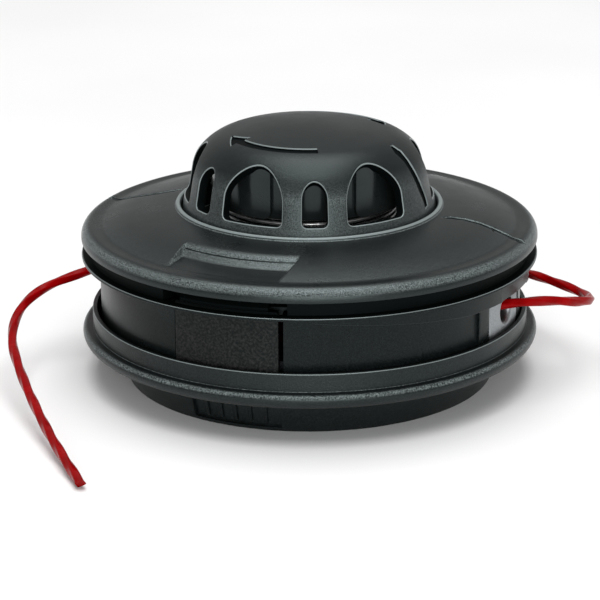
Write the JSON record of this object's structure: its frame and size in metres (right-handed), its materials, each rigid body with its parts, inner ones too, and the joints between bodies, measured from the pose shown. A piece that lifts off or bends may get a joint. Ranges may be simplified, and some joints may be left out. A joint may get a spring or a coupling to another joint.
{
  "type": "trimmer head",
  "caption": "Round bump-feed string trimmer head with a windowed twist knob on top, a grooved drum, push latches and red twisted line coming out of metal eyelets.",
  "frame": {"origin": "centre of the machine-side face that the head stands on", "axes": "+Z along the spin axis towards the bump knob, +X through one line eyelet"},
  "size_m": [0.1418, 0.1962, 0.0672],
  "materials": {
    "housing_plastic": "black glass-filled nylon, coarse grain",
    "cover_plastic": "black nylon, fine spark-eroded grain, satin",
    "spool_plastic": "plain moulded",
    "cup_plastic": "black, smooth and glossy",
    "steel": "zinc plated",
    "spring_steel": "bright drawn wire",
    "eyelet_metal": "satin cast metal",
    "trimmer_line": "translucent red nylon, twisted"
  },
  "bodies": {
    "head": {"housing": "housing_plastic", "arbor_nut": "steel", "cover": "cover_plastic", "latch_pin_front": "steel", "latch_pin_back": "steel", "latch_spring_front": "spring_steel", "latch_spring_back": "spring_steel", "eyelet_right": "eyelet_metal", "eyelet_left": "eyelet_metal", "spring_seat": "steel", "spring": "spring_steel", "line_right": "trimmer_line", "line_left": "trimmer_line"},
    "slider": {"thrust_washer": "steel"},
    "feed": {"knob": "cover_plastic", "spring_cup": "cup_plastic", "knob_screw": "steel", "spool": "spool_plastic", "line_winding": "trimmer_line"},
    "latch_front": {"latch_front": "housing_plastic"},
    "latch_back": {"latch_back": "housing_plastic"}
  },
  "joints": [
    {"name": "bump_slide", "type": "slide", "parent": "head", "child": "slider", "axis": [0, 0, -1], "range_m": [0, 0.0045], "stiffness_N_per_m": 1500, "springref_m": -0.008, "deforming": ["spring"]},
    {"name": "spool_spin", "type": "hinge", "parent": "slider", "child": "feed", "pos_m": [0, 0, 0], "axis": [0, 0, -1], "continuous": true},
    {"name": "latch_front_press", "type": "hinge", "parent": "head", "child": "latch_front", "pos_m": [0.0028, -0.05333, 0.0141], "axis": [-0.9986, -0.0523, 0], "range_deg": [0, 4], "stiffness_Nm_per_rad": 0.06, "springref_deg": -8.59},
    {"name": "latch_back_press", "type": "hinge", "parent": "head", "child": "latch_back", "pos_m": [-0.0028, 0.05333, 0.0141], "axis": [0.9986, 0.0523, 0], "range_deg": [0, 4], "stiffness_Nm_per_rad": 0.06, "springref_deg": -8.59}
  ]
}
